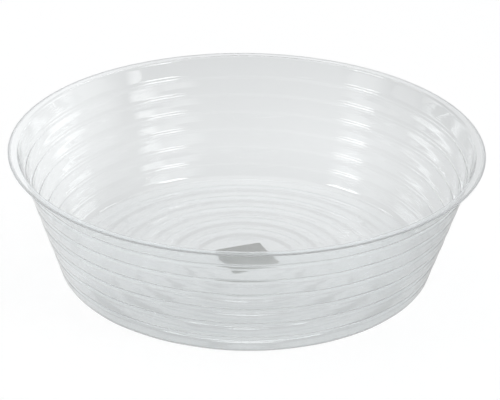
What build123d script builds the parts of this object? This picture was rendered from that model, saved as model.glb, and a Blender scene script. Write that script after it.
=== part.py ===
"""Deep plant saucer of clear vinyl, with the small blank sticker that lies in it.

The saucer is one formed sheet: a flat base with raised rings, a bevelled foot, a flared wall
with narrow beads pressed inwards, and a flat flange round the mouth. Its outside is one outline
of straight folds, thickened to the sheet and turned about Z. The rings are shallow and stand on
the upper face of the base only, so that its underside stays flat.
Lengths are in millimetres, angles in degrees. Z = 0 is the floor.
"""
import os
from math import hypot

from build123d import *

# Saucer, outside sizes
rim_diameter = 254.0
height = 70.0
foot_diameter = 201.2
flange_width = 4.6
sheet = 0.4

# Bevel between the base and the wall, measured along both from their corner
foot_bevel = 2.1

# Beads pressed into the wall, measured down it from the flange
bead_start = 11.2
bead_pitch = 10.3
bead_width = 4.0
bead_depth = 0.5

# Rings raised from the base, measured out from the flat disc in the middle
disc_diameter = 51.2
ring_pitch = 13.85
ring_width = 10.9
ring_side = 3.4
ring_height = 0.4

# Sticker, paper on a film of glue
sticker_length = 28.0
sticker_width = 24.0
sticker_right = 1.0
sticker_front = 0.6
sticker_turn = 28.0
paper_thickness = 0.1
glue_thickness = 0.03

# The straight line of the wall's outside, from the floor up to the underside of the flange
rim_radius = rim_diameter / 2
mouth_radius = rim_radius - flange_width
foot_radius = foot_diameter / 2
flange_level = height - sheet
wall_length = hypot(mouth_radius - foot_radius, flange_level)
wall_flare = (mouth_radius - foot_radius) / wall_length
wall_rise = flange_level / wall_length

# As many rings and beads as the base and the wall have room for
ring_room = foot_radius - foot_bevel - disc_diameter / 2 - ring_width
ring_count = 1 + int(ring_room // ring_pitch)
bead_room = wall_length - foot_bevel - bead_start - bead_width / 2
bead_count = 1 + int(bead_room // bead_pitch)


def on_wall(drop, press):
    """Point of the outline at a distance down the wall from the flange, pressed in square to the wall."""
    across = mouth_radius - drop * wall_flare - press * wall_rise
    up = flange_level - drop * wall_rise + press * wall_flare
    return across, up


def lifted(points, lift):
    """The outline moved square to its left, with mitred folds.

    A fold moves along the sum of the normals on its two sides, by the lift over one plus their dot product.
    """
    folds = [Vector(point) for point in points]
    runs = [(end - start).normalized() for start, end in zip(folds, folds[1:])]
    normals = [Vector(-run.Y, run.X) for run in runs]
    before = normals[:1] + normals
    after = normals + normals[-1:]
    return [fold + (a + b) * (lift / (1 + a.dot(b))) for fold, a, b in zip(folds, before, after)]


outside = [(0, 0), (foot_radius - foot_bevel, 0), on_wall(wall_length - foot_bevel, 0)]
for bead in reversed(range(bead_count)):
    crest = bead_start + bead * bead_pitch
    outside += [on_wall(crest + bead_width / 2, 0), on_wall(crest, bead_depth)]
    outside += [on_wall(crest - bead_width / 2, 0)]
outside += [(mouth_radius, flange_level), (rim_radius, flange_level)]

base_middle, *inside = lifted(outside, sheet)
rings = [base_middle]
for ring in range(ring_count):
    inner_toe = disc_diameter / 2 + ring * ring_pitch
    outer_toe = inner_toe + ring_width
    rings += [(inner_toe, sheet), (inner_toe + ring_side, sheet + ring_height)]
    rings += [(outer_toe - ring_side, sheet + ring_height), (outer_toe, sheet)]

# The formed sheet
with BuildPart() as saucer:
    with BuildSketch(Plane.XZ):
        with BuildLine():
            Polyline(*outside, *reversed(rings + inside), close=True)
        make_face()
    revolve(axis=Axis.Z)
saucer.part.label = "saucer"

# The film of glue, flat on the disc in the middle of the base
with BuildPart() as sticker_glue:
    with BuildSketch(Plane.XY.offset(sheet)):
        with Locations((sticker_right, -sticker_front)):
            Rectangle(sticker_length, sticker_width, rotation=sticker_turn)
    extrude(amount=glue_thickness)
sticker_glue.part.label = "sticker_glue"

# The paper, which the glue covers from edge to edge
with BuildPart() as sticker_paper:
    with BuildSketch(Plane.XY.offset(sheet + glue_thickness)):
        with Locations((sticker_right, -sticker_front)):
            Rectangle(sticker_length, sticker_width, rotation=sticker_turn)
    extrude(amount=paper_thickness)
sticker_paper.part.label = "sticker_paper"

os.makedirs("parts", exist_ok=True)
export_step(saucer.part, "parts/saucer.step")
export_step(sticker_glue.part, "parts/sticker_glue.step")
export_step(sticker_paper.part, "parts/sticker_paper.step")
print("rings", ring_count, "beads", bead_count, "saucer volume", round(saucer.part.volume), "cubic millimetres")
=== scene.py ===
# %% [markdown]
# # A deep plant saucer of clear vinyl
# The saucer is one sheet of vinyl, warmed and drawn over a mould: base, beaded wall and flange have no seam
# between them. A small blank paper sticker lies on its base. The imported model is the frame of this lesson. It
# says where each piece is and how large it is, in metres with Z up. Here the pieces get the rounded forms and
# the finishes of the real thing, and a pale studio to stand in.

import bpy
import numpy as np
from mathutils import Matrix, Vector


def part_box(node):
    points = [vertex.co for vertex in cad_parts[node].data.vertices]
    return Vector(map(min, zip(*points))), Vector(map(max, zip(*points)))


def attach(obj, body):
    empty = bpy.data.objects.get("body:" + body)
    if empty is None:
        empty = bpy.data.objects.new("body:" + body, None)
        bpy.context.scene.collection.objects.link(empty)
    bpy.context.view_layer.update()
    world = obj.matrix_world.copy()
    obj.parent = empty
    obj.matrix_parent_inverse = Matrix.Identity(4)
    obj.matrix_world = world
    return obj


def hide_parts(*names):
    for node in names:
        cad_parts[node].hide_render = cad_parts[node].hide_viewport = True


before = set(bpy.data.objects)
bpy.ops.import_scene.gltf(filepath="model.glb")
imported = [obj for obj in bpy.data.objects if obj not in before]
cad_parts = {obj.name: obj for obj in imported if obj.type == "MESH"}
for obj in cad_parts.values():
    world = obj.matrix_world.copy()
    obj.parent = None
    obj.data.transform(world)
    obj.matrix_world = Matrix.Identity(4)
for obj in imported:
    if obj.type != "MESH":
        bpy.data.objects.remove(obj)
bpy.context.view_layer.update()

# %% [markdown]
# ## The outline of the sheet
# Drawn vinyl has no sharp folds: each bead, ring and bend is a soft curve. A box with bevels could stand for
# them, but a turned piece is easier to say as one line. So the underside is a path of straight runs and arcs,
# like the steps of someone who walks it from the middle of the base to the edge of the flange. The heading is
# the sum of the bends so far, and the place is the sum of the headings.

# %% Sizes of the sheet, in millimetres
MM = 0.001
low, high = (np.array(corner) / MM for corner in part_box("saucer"))
rim_radius, height = high[0], high[2] - low[2]
foot_radius, flange_width, sheet = 100.6, 4.6, 0.4
foot_bend, lip_bend = 5.2, 1.0
mouth_radius, flange_level = rim_radius - flange_width, height - sheet
wall_length = np.hypot(mouth_radius - foot_radius, flange_level)
wall_turn = np.arctan2(flange_level, mouth_radius - foot_radius)
print(f"rim radius {rim_radius:.1f}, height {height:.1f}, wall {np.degrees(wall_turn):.2f} degrees from the floor")

# %% Walk the plain path
foot_reach, lip_reach = foot_bend * np.tan(wall_turn / 2), lip_bend * np.tan(wall_turn / 2)
runs = np.array([
    foot_radius - foot_reach, foot_bend * wall_turn, wall_length - foot_reach - lip_reach,
    lip_bend * wall_turn, flange_width - lip_reach,
])
bends = np.array([0, 1 / foot_bend, 0, -1 / lip_bend, 0])
run_ends = np.cumsum(runs)
path_points = 40001
along = np.linspace(0, run_ends[-1], path_points)
step = along[1]
bend = bends[np.minimum(np.searchsorted(run_ends, along), len(bends) - 1)]


def summed(values):
    """Running integral along the path, by the trapezium rule."""
    return np.concatenate([[0], np.cumsum((values[1:] + values[:-1]) / 2)]) * step


heading = summed(bend)
plain = np.stack([summed(np.cos(heading)), summed(np.sin(heading))], axis=1)
print("path ends at", plain[-1].round(2), "and should end at", [rim_radius, round(flange_level, 2)])

# %% [markdown]
# ## Rings and beads
# Five flat-topped rings are raised from the base, and six narrow beads are pressed into the wall. Both are a
# swell of the path along its own normal: a top of some width, and a flank that falls as half a cosine wave, so
# that the sheet never creases. A power of 1.5 sharpens the crest of a bead and softens its foot. Between the
# beads the wall bows out by a tenth of a millimetre: too little to see as a form, but enough to gather the
# light of a window into a soft oval. Modelling each as its own torus would leave seams that light would show.

# %% Raise the rings and press in the beads
ring_count, first_ring, ring_pitch = 5, 31.05, 13.85
ring_height, ring_half_top, ring_flank = 0.4, 2.05, 3.4
bead_count, first_bead, bead_pitch = 6, 11.2, 10.3
bead_depth, bead_flank, bead_power = 0.5, 2.3, 1.5
band_bow, band_flank = 0.1, 2.85
ring_centres = first_ring + ring_pitch * np.arange(ring_count)
bead_drops = first_bead + bead_pitch * np.arange(bead_count)
drop = wall_length - (along - run_ends[1] + foot_reach)


def swell(offsets, half_top, flank):
    """Sum of swells: 1 within half_top of a middle, then half a cosine wave down to 0 over the flank."""
    fall = np.clip((np.abs(offsets) - half_top) / flank, 0, 1)
    return (0.5 + 0.5 * np.cos(np.pi * fall)).sum(axis=1)


band_drops = bead_drops[1:] - bead_pitch / 2
rings = ring_height * swell(along[:, None] - ring_centres, ring_half_top, ring_flank)
beads = bead_depth * swell(drop[:, None] - bead_drops, 0.0, bead_flank) ** bead_power
bands = band_bow * swell(drop[:, None] - band_drops, 0.0, band_flank)
normal = np.stack([-np.sin(heading), np.cos(heading)], axis=1)
underside = plain + (rings + beads - bands)[:, None] * normal
print(f"rings up to {rings.max():.2f} mm, beads up to {beads.max():.2f} mm")

# %% Thicken the line to the sheet, with more rows where it bends
row_count, flat_spacing, rows_per_radian = 300, 2.5, 9.0
edge_round, edge_points = 0.12, 5
tangent = np.gradient(underside, axis=0)
tangent /= np.linalg.norm(tangent, axis=1)[:, None]
slope = np.unwrap(np.arctan2(tangent[:, 1], tangent[:, 0]))
topside = underside + sheet * np.stack([-tangent[:, 1], tangent[:, 0]], axis=1)
effort = np.concatenate([[0], np.cumsum(step / flat_spacing + rows_per_radian * np.abs(np.diff(slope)))])
rows = np.searchsorted(effort, np.linspace(0, effort[-1], row_count))[1:-1]
corner = np.linspace(-np.pi / 2, 0, edge_points)
edge_low = np.stack([np.cos(corner) - 1, np.sin(corner) + 1], axis=1) * edge_round + [rim_radius, flange_level]
edge_high = (edge_low * [1, -1] + [0, height + flange_level])[::-1]
inside = underside[rows, 0] < rim_radius - edge_round
under_rows, top_rows = underside[rows][inside], topside[rows][inside][::-1]
outline = np.concatenate([under_rows, edge_low, edge_high, top_rows])
cut_rows = np.full(2 * len(corner), run_ends[-1])
row_along = np.concatenate([along[rows][inside], cut_rows, along[rows][inside][::-1]])
row_slope = np.interp(row_along, along, slope)
row_normal = np.stack([-np.sin(row_slope), np.cos(row_slope)], axis=1)
print("outline rows:", len(outline))

# %% [markdown]
# ## A shell from rows of points
# A closed piece is a grid: each row is a ring of points, and each ring is joined to the next. The two ends close
# on one point each, so no pole stays open. The same helper makes the saucer from turned rows, and the sticker
# from rows that follow its outline.

# %% Helper: a closed shell
def closed_shell(name, grid, first, last):
    """Mesh object of a (rows, columns, 3) grid in millimetres.

    Its columns are joined in a ring, and its first and last rows close on a point each.
    """
    n, m = grid.shape[:2]
    points = np.concatenate([grid.reshape(-1, 3), [first], [last]]) * MM
    ids = np.arange(n * m).reshape(n, m)
    turned = np.roll(ids, -1, axis=1)
    quads = np.stack([ids[:-1], turned[:-1], turned[1:], ids[1:]], axis=-1).reshape(-1, 4)
    fan_first = np.stack([np.full(m, n * m), turned[0], ids[0]], axis=-1)
    fan_last = np.stack([np.full(m, n * m + 1), ids[-1], turned[-1]], axis=-1)
    mesh = bpy.data.meshes.new(name)
    mesh.from_pydata(points.tolist(), [], quads.tolist() + fan_first.tolist() + fan_last.tolist())
    mesh.polygons.foreach_set("use_smooth", np.ones(len(mesh.polygons), dtype=bool))
    mesh.update()
    piece = bpy.data.objects.new(name, mesh)
    bpy.context.scene.collection.objects.link(piece)
    print(name, "triangles:", 2 * len(quads) + 2 * m)
    return piece


# %% [markdown]
# ## Turning the saucer
# A thin drawn sheet is never quite round: its wall and flange waver by a few tenths of a millimetre, which is
# what makes reflections in it wander. The waver is a sum of slow cosine waves round the rim, from a fixed seed. It
# only draws the wall inwards and the flange down, so that the saucer stays inside its box. Shallow dents, which are
# slanting waves over the base and the wall, press inwards too. The points of the cut edge of the flange carry an
# attribute, from which the finish knows where to frost it.

# %% Turn the outline, with a slight waver
columns, seed = 150, 7
# Millimetres by which the wall is drawn in and the flange drops, evenly and by the waver
wall_draw, wall_waver = 0.05, 0.3
flange_drop, flange_waver = 0.03, 0.25
# Dents: their depth, their turns round the axis and radians per millimetre of path, then where they set in, how
# far they take to grow, and how far before the flange they fade
dent_depth, dent_count = 0.45, 14
dent_turns, dent_slant = (5, 24), 0.22
dent_start, dent_growth, dent_end = 20, 90, 9
angle = np.linspace(0, 2 * np.pi, columns, endpoint=False)
chance = np.random.default_rng(seed)


def waver(lowest, highest):
    """Sum of cosine waves of that many turns, with seeded sizes and phases, brought to the range 0 to 1."""
    turns = np.arange(lowest, highest + 1)
    size, phase = chance.uniform(0.4, 1, len(turns)) / turns, chance.uniform(0, 2 * np.pi, len(turns))
    wave = (size * np.cos(angle[:, None] * turns + phase)).sum(axis=1)
    return (wave - wave.min()) / np.ptp(wave)


def dents(count):
    """Sum of slanting cosine waves over the angle and the path, in the range 0 to 1.

    They set in away from the middle of the base, and end below the flange.
    """
    turns, slant = chance.integers(*dent_turns, count), chance.uniform(-dent_slant, dent_slant, count)
    phase = chance.uniform(0, 2 * np.pi, count)
    wave = np.cos(angle[None, :, None] * turns + row_along[:, None, None] * slant + phase).sum(axis=2)
    set_in = np.clip((row_along - dent_start) / dent_growth, 0, 1)
    reach = set_in * np.clip((run_ends[2] - row_along) / dent_end, 0, 1)
    return reach[:, None] * (wave - wave.min()) / np.ptp(wave)


rise = np.clip(outline[:, 1] / height, 0, 1)[:, None]
dent = dent_depth * dents(dent_count)
radius = outline[:, :1] - rise ** 2 * (wall_draw + wall_waver * waver(2, 6)) + dent * row_normal[:, :1]
level = outline[:, 1:] - rise ** 6 * (flange_drop + flange_waver * waver(3, 9)) + dent * row_normal[:, 1:]
saucer_grid = np.stack([radius * np.cos(angle), radius * np.sin(angle), level], axis=-1)
saucer = closed_shell("clear_saucer", saucer_grid, (0, 0, 0), (0, 0, sheet))
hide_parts("saucer")
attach(saucer, "root")
is_cut = np.repeat(np.append(row_along == run_ends[-1], [False]), columns)[:len(saucer.data.vertices)]
saucer.data.attributes.new("cut_edge", "FLOAT", "POINT").data.foreach_set("value", is_cut.astype(np.float32))

# %% [markdown]
# ## The sticker
# A rectangle of paper on a film of glue, both thinner than a tenth of a millimetre. A plane would do for the
# camera, but the piece is also seen from below, through the sheet, so each layer is a closed slab. Its rows are
# shares of one rounded rectangle, from the middle of its underside round the edge to the middle of its top. The
# far edge has come loose and curls up, as it does in the photograph.

# %% Outline of the sticker
sticker_length, sticker_width, sticker_corner, sticker_turn = 28.0, 24.0, 1.0, np.radians(28.0)
sticker_middle, outline_points = np.array([1.0, -0.6]), 160


def rounded_rectangle(length, width, corner_radius, count):
    """Points at even distances round a rectangle: each corner is an arc, moved out by the straight half sides."""
    swing = np.linspace(0, 2 * np.pi, 4001) + np.pi / 1e4
    reach = np.array([length, width]) / 2 - corner_radius
    ray = np.stack([np.cos(swing), np.sin(swing)], axis=1)
    path = reach * np.sign(ray) + corner_radius * ray
    walked = np.concatenate([[0], np.cumsum(np.linalg.norm(np.diff(path, axis=0), axis=1))])
    even = np.linspace(0, walked[-1], count, endpoint=False)
    return np.stack([np.interp(even, walked, path[:, i]) for i in range(2)], axis=1)


turn = np.array([[np.cos(sticker_turn), np.sin(sticker_turn)], [-np.sin(sticker_turn), np.cos(sticker_turn)]])
sticker_path = rounded_rectangle(sticker_length, sticker_width, sticker_corner, outline_points) @ turn
print("sticker is", np.ptp(sticker_path, axis=0).round(1), "mm across in the frame")

# %% Lay the glue and the paper
# Levels of the faces, the ripple's height and waves, and the curl at the far edge, with its lean to the left
film_levels, paper_levels = (0.406, 0.426), (0.434, 0.526)
ripple, ripple_waves = 0.001, np.array([0.7, 0.9])
curl_lift, curl_lean, curl_start, curl_length, curl_back = 2.1, 2.2, 0.1, 0.4, 16


def slab(name, bottom, top):
    """Closed slab over the sticker's outline, rounded at its edge, whose faces ripple together by a few microns.

    The far edge curls up, more at its left end: the lift is the square of how far a point is past the middle.
    """
    half = np.concatenate([np.linspace(0.1, 0.9, 9), [0.96, 0.996, 1.0]])
    shares = np.concatenate([half, half[::-1]])
    levels = np.concatenate([np.zeros(len(half) - 1), [0.25, 0.75], np.ones(len(half) - 1)])
    flat = sticker_middle + shares[:, None, None] * sticker_path
    own_places = shares[:, None, None] * (sticker_path @ turn.T) / [sticker_length, sticker_width]
    right, far = np.moveaxis(own_places, -1, 0)
    lift = bottom + (top - bottom) * levels[:, None] + ripple * np.sin(flat * ripple_waves).sum(axis=-1)
    curl = (curl_lift - curl_lean * right) * np.clip((far - curl_start) / curl_length, 0, 1) ** 2
    drawn_back = flat - (curl ** 2 / curl_back)[..., None] * turn[1]
    grid = np.concatenate([drawn_back, (lift + curl)[..., None]], axis=-1)
    middle_lift = ripple * np.sin(sticker_middle * ripple_waves).sum()
    first, last = (np.append(sticker_middle, end + middle_lift) for end in (bottom, top))
    return closed_shell(name, grid, first, last)


glue = slab("sticker_film", *film_levels)
paper = slab("sticker_sheet", *paper_levels)
for piece, node, finish in ((glue, "sticker_glue", "clear_glue"), (paper, "sticker_paper", "grey_paper")):
    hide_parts(node)
    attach(piece, "root")

# %% [markdown]
# ## Unevenness that all the finishes share
# Vinyl, glue and paper are all a little uneven: slow clouds from the rolling of the sheet, and a fine grain. One
# node group works both out from the piece's own coordinates, and each finish uses it at its own scale.

# %% Helper: nodes and links
def put(tree, kind, **inputs):
    """New node of that kind, with plain values set on its inputs by name, where _ stands for a space."""
    new = tree.nodes.new(kind)
    for name, value in inputs.items():
        new.inputs[name.replace("_", " ")].default_value = value
    return new


def chain(tree, *sockets):
    """Links sockets in pairs: an output, then the input that it feeds."""
    for out, into in zip(sockets[::2], sockets[1::2]):
        tree.links.new(out, into)


# %% Node group: unevenness
uneven = bpy.data.node_groups.new("sheet_unevenness", "ShaderNodeTree")
for name, first in (("Cloud Scale", 30.0), ("Grain Scale", 900.0), ("Grain Share", 0.3)):
    uneven.interface.new_socket(name, in_out="INPUT", socket_type="NodeSocketFloat").default_value = first
for name in ("Cloud", "Grain", "Height"):
    uneven.interface.new_socket(name, in_out="OUTPUT", socket_type="NodeSocketFloat")
entry, leave = put(uneven, "NodeGroupInput"), put(uneven, "NodeGroupOutput")
place = put(uneven, "ShaderNodeTexCoord")
cloud = put(uneven, "ShaderNodeTexNoise", Detail=2.0, Roughness=0.45)
grain = put(uneven, "ShaderNodeTexNoise", Detail=4.0, Roughness=0.6)
both = put(uneven, "ShaderNodeMix")
chain(
    uneven, place.outputs["Object"], cloud.inputs["Vector"], place.outputs["Object"], grain.inputs["Vector"],
    entry.outputs["Cloud Scale"], cloud.inputs["Scale"], entry.outputs["Grain Scale"], grain.inputs["Scale"],
    entry.outputs["Grain Share"], both.inputs["Factor"], cloud.outputs["Fac"], both.inputs["A"],
    grain.outputs["Fac"], both.inputs["B"], cloud.outputs["Fac"], leave.inputs["Cloud"],
    grain.outputs["Fac"], leave.inputs["Grain"], both.outputs["Result"], leave.inputs["Height"],
)


def unevenness(tree, cloud_scale, grain_scale, grain_share):
    """The shared group, placed in a finish with its own scales."""
    new = tree.nodes.new("ShaderNodeGroup")
    new.node_tree = uneven
    for name, value in (("Cloud Scale", cloud_scale), ("Grain Scale", grain_scale), ("Grain Share", grain_share)):
        new.inputs[name].default_value = value
    return new


print("group outputs:", [s.name for s in leave.inputs if s.name])

# %% [markdown]
# ## Clear vinyl
# Vinyl bends light a little more than window glass does. Its faint grey clouds slightly, and its roughness and a
# slight bump come from the same shared unevenness. The cut edge of the flange is frosted and greyer, because there
# light comes a long way through the sheet. It would take long to find its way through two faces of glass, so rays
# that only ask for shadow pass straight through, tinted.

# %% Finish: clear vinyl
def blank_finish(name):
    """Material with an empty node tree and its output node."""
    finish = bpy.data.materials.new(name)
    finish.use_nodes = True
    finish.node_tree.nodes.clear()
    return finish, finish.node_tree, put(finish.node_tree, "ShaderNodeOutputMaterial")


vinyl, tree, out = blank_finish("clear_vinyl")
shader = put(tree, "ShaderNodeBsdfPrincipled", IOR=1.53, Transmission_Weight=1.0, Metallic=0.0)
bump = put(tree, "ShaderNodeBump", Strength=0.03, Distance=0.0003)
uneven_vinyl = unevenness(tree, 22.0, 700.0, 0.12)
rough = put(tree, "ShaderNodeMapRange", To_Min=0.015, To_Max=0.07)
tint = put(tree, "ShaderNodeMix")
tint.data_type = "RGBA"
tint.inputs["A"].default_value = (0.92, 0.938, 0.942, 1)
tint.inputs["B"].default_value = (0.95, 0.966, 0.97, 1)
cut, grey = put(tree, "ShaderNodeAttribute"), put(tree, "ShaderNodeMix")
cut.attribute_name, grey.data_type = "cut_edge", "RGBA"
grey.inputs["B"].default_value = (0.6, 0.61, 0.615, 1)
frost = put(tree, "ShaderNodeMath")
frost.operation, frost.inputs[1].default_value = "MULTIPLY_ADD", 0.85
clear, ask = put(tree, "ShaderNodeBsdfTransparent"), put(tree, "ShaderNodeLightPath")
mix = put(tree, "ShaderNodeMixShader")
clear.inputs["Color"].default_value = (0.90, 0.91, 0.915, 1)
chain(
    tree, uneven_vinyl.outputs["Cloud"], rough.inputs["Value"], rough.outputs["Result"], frost.inputs[2],
    cut.outputs["Fac"], frost.inputs[0], frost.outputs["Value"], shader.inputs["Roughness"],
    uneven_vinyl.outputs["Height"], bump.inputs["Height"], bump.outputs["Normal"], shader.inputs["Normal"],
    uneven_vinyl.outputs["Cloud"], tint.inputs["Factor"], tint.outputs["Result"], grey.inputs["A"],
    cut.outputs["Fac"], grey.inputs["Factor"], grey.outputs["Result"], shader.inputs["Base Color"],
    ask.outputs["Is Shadow Ray"], mix.inputs["Fac"], shader.outputs["BSDF"], mix.inputs[1],
    clear.outputs["BSDF"], mix.inputs[2], mix.outputs["Shader"], out.inputs["Surface"],
)
saucer.data.materials.append(vinyl)
print("vinyl nodes:", len(tree.nodes))

# %% [markdown]
# ## Paper and glue
# The sticker is plain grey paper with nothing on it. Its colour clouds slightly and its fibres give a fine bump.
# The glue is a milky film, which is seen only from below.

# %% Finish: grey paper
sticker_paper, tree, out = blank_finish("grey_paper")
shader = put(tree, "ShaderNodeBsdfPrincipled", Metallic=0.0, Specular_IOR_Level=0.3)
uneven_paper = unevenness(tree, 90.0, 2600.0, 0.35)
shade = put(tree, "ShaderNodeMix")
shade.data_type = "RGBA"
shade.inputs["A"].default_value = (0.305, 0.312, 0.304, 1)
shade.inputs["B"].default_value = (0.59, 0.595, 0.582, 1)
rough = put(tree, "ShaderNodeMapRange", To_Min=0.55, To_Max=0.8)
bump = put(tree, "ShaderNodeBump", Strength=0.25, Distance=0.00005)
chain(
    tree, uneven_paper.outputs["Height"], shade.inputs["Factor"],
    shade.outputs["Result"], shader.inputs["Base Color"],
    uneven_paper.outputs["Grain"], rough.inputs["Value"], rough.outputs["Result"], shader.inputs["Roughness"],
    uneven_paper.outputs["Grain"], bump.inputs["Height"], bump.outputs["Normal"], shader.inputs["Normal"],
    shader.outputs["BSDF"], out.inputs["Surface"],
)
paper.data.materials.append(sticker_paper)
print("paper nodes:", len(tree.nodes))

# %% Finish: film of glue
sticker_film, tree, out = blank_finish("clear_glue")
shader = put(tree, "ShaderNodeBsdfPrincipled", IOR=1.47, Transmission_Weight=0.8, Metallic=0.0)
uneven_film = unevenness(tree, 200.0, 3000.0, 0.5)
milk = put(tree, "ShaderNodeMix")
milk.data_type = "RGBA"
milk.inputs["A"].default_value = (0.80, 0.79, 0.76, 1)
milk.inputs["B"].default_value = (0.72, 0.71, 0.68, 1)
rough = put(tree, "ShaderNodeMapRange", To_Min=0.25, To_Max=0.45)
chain(
    tree, uneven_film.outputs["Height"], milk.inputs["Factor"], milk.outputs["Result"], shader.inputs["Base Color"],
    uneven_film.outputs["Cloud"], rough.inputs["Value"], rough.outputs["Result"], shader.inputs["Roughness"],
    shader.outputs["BSDF"], out.inputs["Surface"],
)
glue.data.materials.append(sticker_film)
print("glue nodes:", len(tree.nodes))

# %% [markdown]
# ## Floor and light
# The photograph is cut out on white, so the floor glows white where the camera sees it directly. Where it is seen
# through the vinyl or mirrored in it, it glows the pale grey of a table, with painted light and shade: a painted
# shadow close under the front of the wall, which draws the beads there as dark lines, and a painted pool of light
# under the front left. The sky is a dim even grey, which is what keeps clear vinyl visible on white.
#
# A clear thing shows its lights more than itself. Two boxes in front are mirrored as short lines on the beads of
# the back wall, and low ones as soft ovals between them. Windows at the sides brighten the side walls, and so do
# two bright patches painted into the floor's glow behind, a painted reflection that only mirrored rays see. Dim
# strips at the sides, close to the floor, brighten the wall but not the upper flanks of its beads, which stay as
# dark lines. Of the strips behind, the low ones light the flange and the tops of the rings, and the high one lights
# the flanks of the rings that face the camera. A light of several panels, one before the other, fades to its sides.

# %% Floor
floor_mesh = bpy.data.meshes.new("floor")
half_floor, floor_gap = 4.0, 0.0002
corners = [(half_floor * x, half_floor * y, 0) for x, y in ((-1, -1), (1, -1), (1, 1), (-1, 1))]
floor_mesh.from_pydata(corners, [], [(0, 1, 2, 3)])
floor = bpy.data.objects.new("floor", floor_mesh)
floor.location.z = -floor_gap
bpy.context.scene.collection.objects.link(floor)
print("floor from", corners[0], "to", corners[2])

# %% Finish: pale floor
pale, tree, out = blank_finish("pale_floor")
shader = put(tree, "ShaderNodeBsdfPrincipled", Roughness=0.9, Specular_IOR_Level=0.1)
shader.inputs["Base Color"].default_value = (0.21, 0.21, 0.21, 1)
shader.inputs["Emission Color"].default_value = (1, 1, 1, 1)
place, parts, away = (put(tree, "ShaderNode" + kind) for kind in ("TexCoord", "SeparateXYZ", "VectorMath"))
ask, glow = put(tree, "ShaderNodeLightPath"), put(tree, "ShaderNodeMix", B=0.8)
# Painted shadow close under the front of the wall: a tone out from the axis, used only in front
front, near = put(tree, "ShaderNodeMapRange", From_Min=-0.05, From_Max=-0.08), put(tree, "ShaderNodeMix", A=1.0)
# Nodes that add up the floor's painted light and shade, and its painted bright patches for mirrored rays
pool, left, painted_glow, shadow, mirrored, total = (put(tree, "ShaderNodeMath") for _ in range(6))
away.operation, shadow.operation, total.operation = "LENGTH", "MULTIPLY_ADD", "MULTIPLY_ADD"
for product in (pool, left, painted_glow):
    product.operation = "MULTIPLY"
mirrored.operation, mirrored.inputs[1].default_value = "MINIMUM", 1.0
chain(
    tree, place.outputs["Object"], parts.inputs["Vector"], place.outputs["Object"], away.inputs[0],
    parts.outputs["Y"], front.inputs["Value"], front.outputs["Result"], near.inputs["Factor"],
)

# %% Tones of the floor: its painted light and shade
# Stops of place, in metres, and brightness of the painted light and shade: across, away from the camera, out from
# the axis in front, then across and away for a painted pool of light under the front left, and for the two painted
# bright patches behind that only mirrored rays see
tones = {
    # Across and away: painted light and shade, lighter to the left and behind, darker to the right and in front
    "X": ((-0.3, 0.9), (-0.2, 1.0), (-0.15, 1.08), (-0.117, 1.16), (-0.078, 0.93), (0.06, 1.02), (0.14, 0.73)),
    "Y": ((-0.1, 0.54), (-0.05, 0.49), (0.0, 0.57), (0.1, 0.68), (0.15, 0.7), (0.3, 0.6)),
    # Out from the axis in front: painted shadow close under the wall, painted light further out
    "R": ((0.095, 1.0), (0.102, 0.6), (0.114, 0.6), (0.13, 0.9), (0.18, 1.5), (0.26, 1.8)),
    # A painted pool of light under the front left
    "left X": ((-0.125, 0), (-0.088, 0.065), (-0.06, 0.05), (-0.015, 0)),
    "left Y": ((-0.1, 0), (-0.055, 1), (-0.02, 1), (0.02, 0)),
    # Two painted bright patches behind, to the sides, which only mirrored rays see
    "card X": ((-1.3, 0), (-1.0, 1.4), (-0.31, 1.4), (-0.16, 0), (0.16, 0), (0.31, 1.2), (1.0, 1.2), (1.3, 0)),
    "card Y": ((0.14, 0), (0.215, 1), (0.4, 1), (0.52, 0)),
}
measures = {"X": parts.outputs["X"], "Y": parts.outputs["Y"], "R": away.outputs["Value"]}
uses = {
    "X": pool.inputs[0], "Y": pool.inputs[1], "R": near.inputs["B"],
    "left X": left.inputs[0], "left Y": left.inputs[1], "card X": painted_glow.inputs[0], "card Y": painted_glow.inputs[1],
}
for axis, stops in tones.items():
    reach = put(tree, "ShaderNodeMapRange", From_Min=stops[0][0], From_Max=stops[-1][0])
    ramp = put(tree, "ShaderNodeValToRGB")
    for spot, tone in stops[1:-1]:
        ramp.color_ramp.elements.new((spot - stops[0][0]) / (stops[-1][0] - stops[0][0]))
    for element, (spot, tone) in zip(ramp.color_ramp.elements, stops):
        element.color = (tone, tone, tone, 1)
    chain(
        tree, measures[axis[-1]], reach.inputs["Value"], reach.outputs["Result"], ramp.inputs["Fac"],
        ramp.outputs["Color"], uses[axis],
    )
chain(
    tree, pool.outputs["Value"], shadow.inputs[0], near.outputs["Result"], shadow.inputs[1],
    left.outputs["Value"], shadow.inputs[2],
    ask.outputs["Glossy Depth"], mirrored.inputs[0], mirrored.outputs["Value"], total.inputs[0],
    painted_glow.outputs["Value"], total.inputs[1], shadow.outputs["Value"], total.inputs[2],
    total.outputs["Value"], glow.inputs["A"], ask.outputs["Is Camera Ray"], glow.inputs["Factor"],
    glow.outputs["Result"], shader.inputs["Emission Strength"], shader.outputs["BSDF"], out.inputs["Surface"],
)
floor_mesh.materials.append(pale)
print("floor nodes:", len(tree.nodes))

# %% Sky, and a helper for the soft boxes
world = bpy.data.worlds.new("studio")
world.use_nodes = True
world.node_tree.nodes["Background"].inputs["Color"].default_value = (0.5, 0.51, 0.52, 1)
world.node_tree.nodes["Background"].inputs["Strength"].default_value = 0.9
bpy.context.scene.world = world
middle, panel_gap = np.array([0, 0, 0.035]), 0.01


def facing(ahead, up=(0, 0, 1)):
    """Turn that looks along ahead with up upwards: its columns are right, up and backwards."""
    ahead = np.array(ahead, float) / np.linalg.norm(ahead)
    right = np.cross(ahead, up)
    right /= np.linalg.norm(right)
    return np.stack([right, np.cross(right, ahead), -ahead], axis=1)


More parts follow.
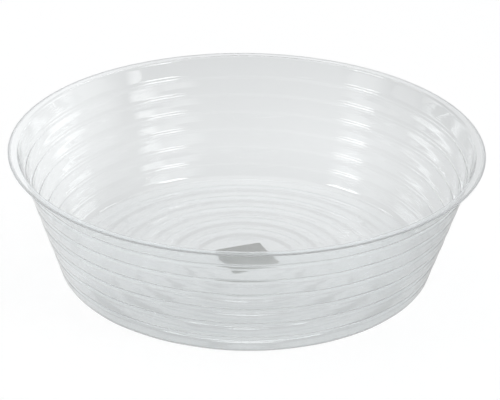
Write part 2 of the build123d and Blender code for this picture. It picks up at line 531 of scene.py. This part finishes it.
def soft_box(name, right_degrees, rise_degrees, distance, width, tall, power, shares):
    """Area lights that face the saucer, at an angle to the right of the camera and a rise above the floor.

    Panels of several shares of the width, one before the other, make a box that fades towards its sides.
    """
    a, e = np.radians(right_degrees), np.radians(rise_degrees)
    way = np.array([np.sin(a) * np.cos(e), -np.cos(a) * np.cos(e), np.sin(e)])
    for share in shares:
        spot = middle + (distance + panel_gap * share) * way
        lamp = bpy.data.lights.new(name, "AREA")
        lamp.shape, lamp.size, lamp.size_y = "RECTANGLE", width * share, tall
        lamp.energy = power * share / sum(shares)
        box = bpy.data.objects.new(name, lamp)
        box.matrix_world = Matrix.LocRotScale(spot, Matrix(facing(middle - spot)), None)
        bpy.context.scene.collection.objects.link(box)
    print(name, "at", spot.round(2), "panels", len(shares))


# %% Place the lights
# Shares of the panels that fade softly or slightly, and of the single panel that doesn't fade
soft, slight, even = (1.0, 0.82, 0.64, 0.46), (1.0, 0.9, 0.8), (1.0,)
# Name, degrees to the right of the camera and above the floor, distance, width, height, power and panels
lights = (
    ("soft_box_right", 51.5, 30, 1.4, 0.46, 0.6, 3.6, slight),
    ("soft_box_right_low", 41, 8.5, 1.4, 0.8, 0.24, 0.34, soft),
    ("soft_box_right_far", 60, 8.5, 1.4, 0.42, 0.24, 0.42, soft),
    ("soft_box_left", -68, 28, 1.4, 0.52, 0.42, 3.9, slight),
    ("soft_box_left_low", -66, 8.5, 1.4, 0.7, 0.24, 0.3, soft),
    ("window_right", 118, 8, 1.6, 0.9, 0.4, 1.2, soft),
    ("window_left", -118, 8, 1.6, 0.9, 0.4, 1.2, soft),
    ("strip_right", 90, 4.5, 1.6, 1.0, 0.3, 0.28, soft),
    ("strip_left", -90, 4.5, 1.6, 1.0, 0.3, 0.32, soft),
    ("soft_box_above", 0, 88, 2.0, 2.4, 2.4, 9, even),
    ("strip_behind_high", 180, 51, 2.2, 1.9, 0.3, 6.0, even),
    ("strip_behind", 180, 25.5, 2.2, 3.4, 0.5, 3.4, even),
    ("strip_behind_low", 180, 10, 2.2, 4.4, 0.7, 3.9, even),
)
for light in lights:
    soft_box(*light)

# %% [markdown]
# ## Camera
# The camera stands a metre off, about 25 degrees above the rim, with a long lens, and is tilted by under a degree.
# These values came from fitting the rim, the wall and the foot to their edges in the photograph.

# %% Camera at the photograph's angle
camera_distance, camera_rise = 1.03582, np.radians(24.9311)
pitch, yaw, roll = np.radians([26.6068, 0.1092, 0.8328])
eye = np.array([0, -camera_distance * np.cos(camera_rise), high[2] * MM + camera_distance * np.sin(camera_rise)])
ahead, right = np.array([0, np.cos(pitch), -np.sin(pitch)]), np.array([1.0, 0, 0])
up = np.cross(right, ahead)
ahead, right = ahead * np.cos(yaw) + right * np.sin(yaw), right * np.cos(yaw) - ahead * np.sin(yaw)
right, up = right * np.cos(roll) + up * np.sin(roll), up * np.cos(roll) - right * np.sin(roll)
lens = bpy.data.cameras.new("camera")
lens.sensor_width, lens.lens, lens.clip_start = 36.0, 139.70, 0.01
camera = bpy.data.objects.new("camera", lens)
camera.matrix_world = Matrix.LocRotScale(eye, Matrix(np.stack([right, up, -ahead], axis=1)), None)
bpy.context.scene.collection.objects.link(camera)
bpy.context.scene.camera = camera
bpy.context.scene.view_settings.view_transform = "Standard"
print("camera at", eye.round(4))

# %% Update the scene and finish
bpy.context.view_layer.update()
